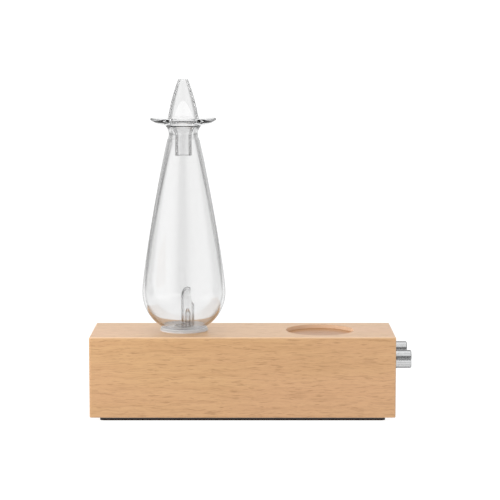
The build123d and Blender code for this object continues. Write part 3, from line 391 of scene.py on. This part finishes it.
# ---------------------------------------------------------------- materials
class Tree:
    """A material's node tree, with short calls for adding nodes to it."""

    def __init__(self, name):
        self.material = bpy.data.materials.new(name)
        self.material.use_nodes = True
        self.tree = self.material.node_tree
        self.surface = self.tree.nodes["Principled BSDF"]
        coordinates = self.add("TexCoord").outputs
        self.place = coordinates["Object"]
        self.normal = coordinates["Normal"]

    def add(self, kind, inputs=None, **settings):
        """A new shader node with its inputs, as values or links, and its settings."""
        node = self.tree.nodes.new("ShaderNode" + kind)
        for key, value in settings.items():
            setattr(node, key, value)
        for key, value in (inputs or {}).items():
            self.feed(node.inputs[key], value)
        return node

    def feed(self, socket, value):
        """Links a socket to another one, or sets its plain value."""
        if isinstance(value, bpy.types.NodeSocket):
            self.tree.links.new(value, socket)
        else:
            socket.default_value = value

    def set(self, **values):
        """Values or links for the surface shader; an underscore stands for a space."""
        for key, value in values.items():
            self.feed(self.surface.inputs[key.replace("_", " ")], value)

    def math(self, operation, a, b=0.0):
        node = self.add("Math", {0: a, 1: b}, operation=operation)
        return node.outputs[0]

    def vector(self, operation, a, b):
        node = self.add("VectorMath", {0: a, 1: b}, operation=operation)
        return node.outputs[0]

    def xyz(self, vector):
        """The X, Y and Z outputs of a vector."""
        return self.add("SeparateXYZ", {0: vector}).outputs

    def hypot(self, a, b):
        """The length of the hypotenuse on the sides a and b."""
        squares = self.math("ADD", self.math("MULTIPLY", a, a), self.math("MULTIPLY", b, b))
        return self.math("SQRT", squares)

    def grazing(self):
        """0 where the surface faces the eye and 1 at its outline."""
        return self.add("LayerWeight", {"Blend": 0.5}).outputs["Facing"]

    def noise(self, scale, detail=2.0, roughness=0.5, place=None, stretch=(1, 1, 1)):
        """Noise with scale features in a metre, multiplied along each axis by stretch."""
        spot = self.vector("MULTIPLY", place or self.place, [scale * s for s in stretch])
        node = self.add(
            "TexNoise", {"Vector": spot, "Scale": 1.0, "Detail": detail, "Roughness": roughness}
        )
        return node.outputs["Fac"]

    def level(self, value, low, high, to_low=0.0, to_high=1.0, smooth=True):
        """Carries value from the range low..high over to the range to_low..to_high."""
        kind = "SMOOTHSTEP" if smooth else "LINEAR"
        node = self.add(
            "MapRange",
            {"Value": value, "From Min": low, "From Max": high, "To Min": to_low, "To Max": to_high},
            interpolation_type=kind,
        )
        return node.outputs["Result"]

    def mix(self, share, a, b):
        """Colour a where share is 0 and colour b where it is 1."""
        node = self.add("Mix", data_type="RGBA")
        self.feed(node.inputs[0], share)
        self.feed(node.inputs[6], a)
        self.feed(node.inputs[7], b)
        return node.outputs[2]

    def bump(self, height, distance, strength=1.0):
        """A surface normal tilted by a height pattern, distance metres deep."""
        node = self.add("Bump", {"Height": height, "Distance": distance, "Strength": strength})
        return node.outputs["Normal"]


def rgb(r, g, b):
    return (r, g, b, 1.0)


def grey(value):
    return rgb(value, value, value)


def darker(colour, share):
    """A colour with each channel multiplied by share."""
    return rgb(*[channel * share for channel in colour[:3]])


# The round rest milled into the block's top, from the part's own mount.
rest = next(m for m in frame["record"]["mounts"] if m["name"] == "bottle_rest")
REST_X = rest["pos_m"][0]
REST_RADIUS = rest["dims"]["r_mm"] * MM

# How many times a mark repeats in a metre: along the grain, and twice across it.
DASH_GRAIN = (105, 1250, 1250)
LINE_GRAIN = (42, 1000, 1000)
FINE_GRAIN = (260, 2600, 2600)
STREAK_GRAIN = (9, 330, 330)
TONE_GRAIN = (7, 22, 22)
WANDER_GRAIN = (45, 60, 60)
WANDER_ACROSS = 0.004

REDDER_BEECH = rgb(0.51, 0.283, 0.155)
# Painted shade for the milled rest's floor and painted light for its wall.
REST_FLOOR_SHADE = rgb(0.285, 0.122, 0.034)
REST_WALL_LIGHT = rgb(0.78, 0.55, 0.38)
# Painted highlight on the rounded top edges.
EDGE_HIGHLIGHT = rgb(0.64, 0.45, 0.30)


def make_beech(name, light, dark, fleck, end_grain):
    """Beech with its grain along X: fine dark flecks, faint streaks and slow changes of tone."""
    tree = Tree(name)
    x, y, z = tree.xyz(tree.place)
    slope = tree.xyz(tree.normal)
    normal_x, normal_z = slope["X"], slope["Z"]

    # The grain wanders a little across its length, and each kind of mark is a stretched noise.
    wander = tree.add("TexNoise", {
        "Vector": tree.vector("MULTIPLY", tree.place, WANDER_GRAIN), "Scale": 1.0, "Detail": 1.0,
    }).outputs["Color"]
    off_centre = tree.vector("SUBTRACT", wander, (0.5, 0.5, 0.5))
    shift = tree.vector("MULTIPLY", off_centre, (0, WANDER_ACROSS, WANDER_ACROSS))
    grain = tree.vector("ADD", tree.place, shift)
    dashes = tree.level(tree.noise(1, 2.0, 0.5, grain, DASH_GRAIN), 0.54, 0.74)
    lines = tree.level(tree.noise(1, 2.0, 0.5, grain, LINE_GRAIN), 0.48, 0.72)
    fine = tree.level(tree.noise(1, 1.0, 0.5, grain, FINE_GRAIN), 0.52, 0.78)
    streaks = tree.level(tree.noise(1, 3.0, 0.6, grain, STREAK_GRAIN), 0.30, 0.70)
    tone = tree.level(tree.noise(1, 2.0, 0.5, tree.place, TONE_GRAIN), 0.35, 0.65)

    colour = tree.mix(streaks, light, dark)
    colour = tree.mix(tree.math("MULTIPLY", tone, 0.45), colour, REDDER_BEECH)
    for mark, strength in ((dashes, 0.62), (lines, 0.26), (fine, 0.24)):
        colour = tree.mix(tree.math("MULTIPLY", mark, strength), colour, fleck)
    on_end = tree.level(tree.math("ABSOLUTE", normal_x), 0.6, 0.95)
    colour = tree.mix(tree.math("MULTIPLY", on_end, 0.45), colour, end_grain)

    # Painted shade darkens the milled rest's floor, and painted light makes its wall paler.
    from_rest = tree.hypot(tree.math("SUBTRACT", x, REST_X), y)
    in_rest = tree.level(from_rest, REST_RADIUS + 0.0002, REST_RADIUS + 0.0001)
    below_top = tree.level(z, block_high.z - 0.00005, block_high.z - 0.00015)
    milled = tree.math("MULTIPLY", in_rest, below_top)
    shaded_rest_floor = tree.math("MULTIPLY", milled, tree.level(normal_z, 0.4, 0.6))
    lit_rest_wall = tree.math("SUBTRACT", milled, shaded_rest_floor)
    colour = tree.mix(tree.math("MULTIPLY", shaded_rest_floor, 0.92), colour, REST_FLOOR_SHADE)
    colour = tree.mix(tree.math("MULTIPLY", lit_rest_wall, 0.9), colour, REST_WALL_LIGHT)

    # Painted highlight: the rounded top edges, which face partly up, are coloured paler.
    edge_highlight = tree.math("MULTIPLY", tree.level(normal_z, 0.08, 0.45), tree.level(normal_z, 0.995, 0.90))
    colour = tree.mix(tree.math("MULTIPLY", edge_highlight, 0.65), colour, EDGE_HIGHLIGHT)
    height = tree.math("ADD", tree.math("MULTIPLY", dashes, -0.6), tree.math("MULTIPLY", fine, -0.4))
    tree.set(
        Base_Color=colour,
        Roughness=tree.level(dashes, 0, 1, 0.30, 0.42, smooth=False),
        Normal=tree.bump(height, 0.00004, 0.6),
    )
    return tree.material


GROUND_GLASS = rgb(0.68, 0.67, 0.67)
# Painted shade at the glass walls' outlines: a share of Metallic and a dark reflection tint there.
WALL_OUTLINE_SHARE = 0.28
WALL_OUTLINE_REFLECTION_SHADE = 0.35
ABSORBED = rgb(0.80, 0.815, 0.82)
ABSORPTION = 14.0


def make_glass(name, clear, grazing_shade, outline_shade, ior):
    """Clear blown glass, faintly wavy, with a ground foot and painted shade that greys the walls at
    their outlines.
    """
    tree = Tree(name)
    waves = tree.noise(55, 2.0, 0.4, stretch=(1, 1, 0.5))
    x, y, z = tree.xyz(tree.place)
    radius = tree.hypot(tree.math("SUBTRACT", x, glass_axis.x), y)

    # Painted shade greys each wall towards its outline. The grey outline is equally wide on thin and
    # thick parts, so it starts at less grazing angles where the glass is slender. Flat faces, seen
    # edge-on, have none.
    grazing = tree.grazing()
    normal_z = tree.xyz(tree.normal)[2]
    upright = tree.level(tree.math("ABSOLUTE", normal_z), 0.85, 0.60)
    outline_start = tree.level(radius, 0.005, 0.029, 0.43, 0.75, smooth=False)
    past_start = tree.math("SUBTRACT", grazing, outline_start)
    outline = tree.math("MULTIPLY", upright, tree.level(past_start, -0.10, 0.06))
    tint_and_shade = tree.mix(tree.level(grazing, 0.55, 0.90), grey(clear), grey(grazing_shade))
    tint_and_shade = tree.mix(outline, tint_and_shade, grey(outline_shade))

    # The foot is ground flat and stays milky, but the stub inside it is clear.
    outside_stub = tree.level(radius, 0.0070, 0.0075)
    foot_top = block_high.z + FOOT_TOP * MM
    in_foot = tree.level(z, foot_top + 0.0003, foot_top + 0.0001)
    ground = tree.math("MULTIPLY", outside_stub, in_foot)
    tree.set(
        Base_Color=tree.mix(ground, tint_and_shade, GROUND_GLASS),
        Metallic=tree.math("MULTIPLY", outline, WALL_OUTLINE_SHARE),
        Specular_Tint=tree.mix(outline, grey(1.0), grey(WALL_OUTLINE_REFLECTION_SHADE)),
        Roughness=tree.level(ground, 0, 1, 0.0, 0.40),
        IOR=ior,
        Transmission_Weight=tree.level(ground, 0, 1, 1.0, 0.55),
        Normal=tree.bump(waves, 0.00012, 0.25),
    )
    depth = tree.add("VolumeAbsorption", {"Color": ABSORBED, "Density": ABSORPTION})
    output = tree.tree.nodes["Material Output"]
    tree.tree.links.new(depth.outputs[0], output.inputs["Volume"])
    return tree.material


def make_turned_metal(name, colour, roughness, centre_y, centre_z):
    """Metal turned on a lathe about an axis along X, with fine rings on its end face and painted shade
    at its outline.
    """
    tree = Tree(name)
    x, y, z = tree.xyz(tree.place)
    off_y = tree.math("SUBTRACT", tree.math("ABSOLUTE", y), centre_y)
    off_z = tree.math("SUBTRACT", z, centre_z)
    spot = tree.add("CombineXYZ", {0: x, 1: tree.hypot(off_y, off_z)}).outputs[0]
    rings = tree.noise(1, 2.0, 0.6, spot, (5200, 7000, 1))
    cloud = tree.noise(420, 3.0, 0.6)
    even = tree.mix(tree.level(cloud, 0.3, 0.7), colour, darker(colour, 0.9))
    # Painted shade: the metal's colour darkens towards its outline.
    outline = tree.level(tree.grazing(), 0.40, 0.70)
    tree.set(
        Base_Color=tree.mix(outline, even, darker(colour, 0.38)),
        Metallic=1.0,
        Specular_Tint=grey(0.2),
        Roughness=tree.level(rings, 0.3, 0.7, roughness, roughness + 0.12),
        Normal=tree.bump(rings, 0.000012, 0.5),
    )
    return tree.material


def make_plain_metal(name, colour, roughness):
    """Plated or drawn metal with fine scratches and slight tarnish."""
    tree = Tree(name)
    scratches = tree.noise(900, 3.0, 0.7, stretch=(1, 4, 4))
    tarnish = tree.noise(160, 3.0, 0.6)
    tree.set(
        Base_Color=tree.mix(tree.level(tarnish, 0.4, 0.75), colour, darker(colour, 0.72)),
        Metallic=1.0,
        Roughness=tree.level(scratches, 0.3, 0.7, roughness, roughness + 0.18),
        Normal=tree.bump(scratches, 0.00001, 0.5),
    )
    return tree.material


def make_moulded(name, colour, second, roughness, grain_scale, grain_depth, **extra):
    """Moulded plastic or rubber: a fine textured skin and a slow change of tone."""
    tree = Tree(name)
    skin = tree.noise(grain_scale, 3.0, 0.65)
    tone = tree.noise(grain_scale / 18, 2.0, 0.5)
    tree.set(
        Base_Color=tree.mix(tree.level(tone, 0.3, 0.7), colour, second),
        Roughness=tree.level(skin, 0.3, 0.7, roughness, roughness + 0.15),
        Normal=tree.bump(skin, grain_depth, 0.6),
        **extra,
    )
    return tree.material


def make_foam(name):
    """Open-cell foam: round cells between pale ribs, with painted shade darkening the cells."""
    tree = Tree(name)
    cells = tree.add("TexVoronoi", {"Vector": tree.place, "Scale": 1400.0}).outputs["Distance"]
    # Painted shade: the cells' hollows are coloured darker than the ribs.
    shaded_hollow = tree.level(cells, 0.15, 0.6, 1.0, 0.0)
    tree.set(
        Base_Color=tree.mix(shaded_hollow, rgb(0.11, 0.11, 0.115), rgb(0.015, 0.015, 0.016)),
        Roughness=tree.level(shaded_hollow, 0, 1, 0.85, 1.0),
        Normal=tree.bump(cells, 0.0003, 0.9),
    )
    return tree.material


def make_board(name):
    """Green solder mask over copper tracks, with the glass weave just showing."""
    tree = Tree(name)
    tracks = tree.add(
        "TexBrick",
        {"Vector": tree.place, "Scale": 210.0, "Mortar Size": 0.09, "Mortar Smooth": 0.1,
         "Color1": rgb(0.0, 0.0, 0.0), "Color2": rgb(0.12, 0.12, 0.12), "Mortar": rgb(1, 1, 1)},
    ).outputs["Color"]
    copper = tree.math("MULTIPLY", tracks, tree.level(tree.noise(120, 1.0), 0.45, 0.55))
    weave = tree.noise(2200, 1.0, 0.5, stretch=(1, 0.25, 1))
    tree.set(
        Base_Color=tree.mix(copper, rgb(0.012, 0.115, 0.045), rgb(0.035, 0.24, 0.085)),
        Roughness=tree.level(weave, 0.3, 0.7, 0.28, 0.4),
        Normal=tree.bump(tree.math("ADD", copper, tree.math("MULTIPLY", weave, 0.2)), 0.00003, 0.6),
    )
    return tree.material


knob_low, knob_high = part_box("output_knob")
knob_offset = abs(knob_low.y + knob_high.y) / 2
knob_z = (knob_low.z + knob_high.z) / 2

beech_colours = (rgb(0.505, 0.302, 0.145), rgb(0.455, 0.262, 0.121), rgb(0.270, 0.142, 0.060),
                 rgb(0.370, 0.205, 0.092))
finishes = {
    "glass": make_glass("clear_glass", 0.875, 0.85, 0.64, 1.47),
    "silicone": make_moulded(
        "white_silicone", rgb(0.66, 0.65, 0.65), rgb(0.60, 0.59, 0.59), 0.38, 900, 0.00001,
        Subsurface_Weight=0.2, Subsurface_Radius=(0.002, 0.002, 0.002)),
    "beech": make_beech("oiled_beech", *beech_colours),
    "dowel_wood": make_beech("plain_beech", *beech_colours),
    "knob_aluminium": make_turned_metal(
        "turned_aluminium", rgb(0.57, 0.575, 0.58), 0.16, knob_offset, knob_z),
    "black_plastic": make_moulded(
        "black_abs", rgb(0.018, 0.018, 0.019), rgb(0.026, 0.026, 0.027), 0.42, 2600, 0.00002),
    "black_rubber": make_moulded(
        "black_foam_rubber", rgb(0.017, 0.010, 0.008), rgb(0.026, 0.016, 0.013), 0.85, 1900, 0.00006,
        Specular_IOR_Level=0.05),
    "pale_plastic": make_moulded(
        "natural_nylon", rgb(0.74, 0.72, 0.66), rgb(0.68, 0.66, 0.60), 0.40, 1800, 0.00002),
    "foam": make_foam("charcoal_foam"),
    "steel": make_plain_metal("plated_steel", rgb(0.62, 0.63, 0.64), 0.25),
    "brass": make_plain_metal("bright_brass", rgb(0.78, 0.58, 0.26), 0.25),
    "ferrite": make_moulded(
        "sintered_ferrite", rgb(0.045, 0.044, 0.046), rgb(0.070, 0.068, 0.068), 0.60, 3000, 0.00003),
    "board_green": make_board("solder_mask"),
    "capacitor_sleeve": make_moulded(
        "shrink_sleeve", rgb(0.02, 0.025, 0.06), rgb(0.03, 0.035, 0.08), 0.22, 900, 0.00001),
    "red_insulation": make_moulded(
        "red_pvc", rgb(0.50, 0.02, 0.02), rgb(0.42, 0.015, 0.018), 0.35, 1500, 0.00001),
    "black_insulation": make_moulded(
        "black_pvc", rgb(0.02, 0.02, 0.021), rgb(0.03, 0.03, 0.03), 0.35, 1500, 0.00001),
    "white_insulation": make_moulded(
        "white_pvc", rgb(0.76, 0.76, 0.74), rgb(0.70, 0.70, 0.67), 0.35, 1500, 0.00001),
}

for part in frame["record"]["subparts"]:
    cad_piece = frame["nodes"][part["node"]]
    cad_piece.data.materials.clear()
    cad_piece.data.materials.append(finishes[part["material_slot"]])

# The glass casts no shadow, because clear glass barely darkens what it stands on.
stopper_glass = make_glass("stopper_clear_glass", 0.95, 0.93, 0.62, 1.175)
nozzle_glass = make_glass("nozzle_clear_glass", 0.94, 0.90, 0.50, 1.30)
glass_builders = {
    build_reservoir: finishes["glass"],
    build_stopper: stopper_glass,
    build_shroud: nozzle_glass,
    build_jet: nozzle_glass,
}
for build, glass in glass_builders.items():
    glass_piece = build()
    glass_piece.data.materials.clear()
    glass_piece.data.materials.append(glass)
    glass_piece.visible_shadow = False


# ---------------------------------------------------------------- floor, light and camera
# The camera sees a plain white floor and backdrop. Everything else is lit by a graded studio:
# bright screens low at the left and right, a soft one overhead, and a dark gap behind the camera
# that gives clear glass and bright metal something to show.
SEEN_FLOOR = 0.95
SEEN_BACKDROP = 1.1
# How bright the studio may be when it's seen through glass, which would burn out without a limit.
GLASS_VIEW_LIMIT = 1.25
NO_LIMIT = 10.0
FLOOR_SIZE = 6.0


def build_floor():
    """A wide white floor that lights the object unevenly, as a studio's screens do."""
    builder = bmesh.new()
    bmesh.ops.create_grid(builder, x_segments=8, y_segments=8, size=FLOOR_SIZE)
    floor = finished(builder, "studio_floor", None)
    tree = Tree("white_floor")
    paper = tree.noise(3, 2.0)
    across = tree.xyz(tree.place)
    x, y = across["X"], across["Y"]
    in_front = tree.level(y, 0.15, -0.25)
    sweep = tree.math(
        "MULTIPLY",
        tree.level(tree.math("ABSOLUTE", x), 0.42, 1.15, 0.94, 0.36),
        tree.level(y, -0.9, -0.25, 0.04, 1.0),
    )
    left_patch = tree.math("MULTIPLY", tree.level(x, -0.08, -0.62, 0.0, 2.1), in_front)
    right_patch = tree.math("MULTIPLY", tree.level(x, 0.0, 0.45, 0.0, 1.35), in_front)
    lit = tree.math("ADD", sweep, tree.math("ADD", left_patch, right_patch))
    path = tree.add("LightPath").outputs
    limit = tree.level(path["Is Transmission Ray"], 0, 1, NO_LIMIT, GLASS_VIEW_LIMIT, smooth=False)
    lit = tree.math("MINIMUM", lit, limit)
    tree.set(
        Base_Color=tree.mix(paper, grey(0.12), grey(0.13)),
        Roughness=0.9,
        Specular_IOR_Level=0.0,
        Emission_Color=grey(1),
        Emission_Strength=tree.level(path["Is Camera Ray"], 0, 1, lit, SEEN_FLOOR, smooth=False),
    )
    floor.data.materials.append(tree.material)


def build_world():
    """A soft white tent, bright at the back, overhead and at both sides, and dark at the camera."""
    world = bpy.data.worlds.new("studio")
    bpy.context.scene.world = world
    world.use_nodes = True
    nodes, links = world.node_tree.nodes, world.node_tree.links
    background = nodes["Background"]
    background.inputs["Color"].default_value = grey(1)
    direction = nodes.new("ShaderNodeTexCoord").outputs["Generated"]
    height = nodes.new("ShaderNodeSeparateXYZ")
    links.new(direction, height.inputs[0])

    def band(value, low, high, to_low, to_high):
        node = nodes.new("ShaderNodeMapRange")
        node.interpolation_type = "SMOOTHSTEP"
        links.new(value, node.inputs["Value"])
        settings = {"From Min": low, "From Max": high, "To Min": to_low, "To Max": to_high}
        for key, setting in settings.items():
            node.inputs[key].default_value = setting
        return node.outputs["Result"]

    def combine(operation, a, b):
        node = nodes.new("ShaderNodeMath")
        node.operation = operation
        links.new(a, node.inputs[0])
        links.new(b, node.inputs[1])
        return node.outputs[0]

    def towards(x, y, z):
        """1 in the given direction, falling off as the cosine of the angle away from it."""
        node = nodes.new("ShaderNodeVectorMath")
        node.operation = "DOT_PRODUCT"
        links.new(direction, node.inputs[0])
        node.inputs[1].default_value = Vector((x, y, z)).normalized()
        return node.outputs["Value"]

    def screen(x, y, z, outer_angle, inner_angle, strength):
        """A round bright screen that fades out between two angles from its middle."""
        outer, inner = (math.cos(math.radians(angle)) for angle in (outer_angle, inner_angle))
        return band(towards(x, y, z), outer, inner, 0.0, strength)

    total = band(towards(0, 0.88, 0.47), 0.45, 0.86, 0.0, 0.60)
    for light in (
        band(height.outputs[2], 0.66, 0.90, 0.0, 0.95),
        screen(-0.85, -0.5, 0.12, 50, 8, 2.1),
        screen(0.80, -0.6, 0.12, 50, 18, 1.25),
        band(towards(0, -1, 0.1), 0.70, 0.93, 0.36, 0.04),
    ):
        total = combine("ADD", total, light)
    path = nodes.new("ShaderNodeLightPath").outputs
    limit = band(path["Is Transmission Ray"], 0, 1, NO_LIMIT, GLASS_VIEW_LIMIT)
    seen = nodes.new("ShaderNodeMix")
    links.new(path["Is Camera Ray"], seen.inputs[0])
    links.new(combine("MINIMUM", total, limit), seen.inputs[2])
    seen.inputs[3].default_value = SEEN_BACKDROP
    links.new(seen.outputs[0], background.inputs["Strength"])


def add_softbox(name, spot, size, power, target):
    """A square lamp that lights the surfaces but shows neither in the glass nor in the metal."""
    light = bpy.data.lights.new(name, "AREA")
    light.shape = "SQUARE"
    light.size = size
    light.energy = power
    lamp = bpy.data.objects.new(name, light)
    lamp.location = spot
    lamp.rotation_euler = (Vector(target) - Vector(spot)).to_track_quat("-Z", "Y").to_euler()
    bpy.context.scene.collection.objects.link(lamp)
    lamp.visible_camera = False
    lamp.visible_glossy = False
    lamp.visible_transmission = False


CAMERA_SPOT = (0.0051, -1.2485, 0.2630)
CAMERA_DIP = 6.748
FOCAL_LENGTH = 130.0
SENSOR_WIDTH = 36.0


def build_camera():
    """A long lens in front of the block, looking down at it by a few degrees."""
    data = bpy.data.cameras.new("studio_camera")
    data.sensor_width = SENSOR_WIDTH
    data.lens = FOCAL_LENGTH
    camera = bpy.data.objects.new("studio_camera", data)
    camera.location = CAMERA_SPOT
    camera.rotation_euler = (math.radians(90 - CAMERA_DIP), 0, 0)
    bpy.context.scene.collection.objects.link(camera)
    bpy.context.scene.camera = camera


build_floor()
build_world()
add_softbox("left_softbox", (-0.46, -0.42, 0.30), 0.3, 1.75, (-0.08, 0, 0.03))
add_softbox("top_softbox", (-0.45, 0.1, 0.80), 0.6, 2.6, (-0.05, 0, 0.05))
build_camera()
bpy.context.scene.view_settings.view_transform = "Standard"
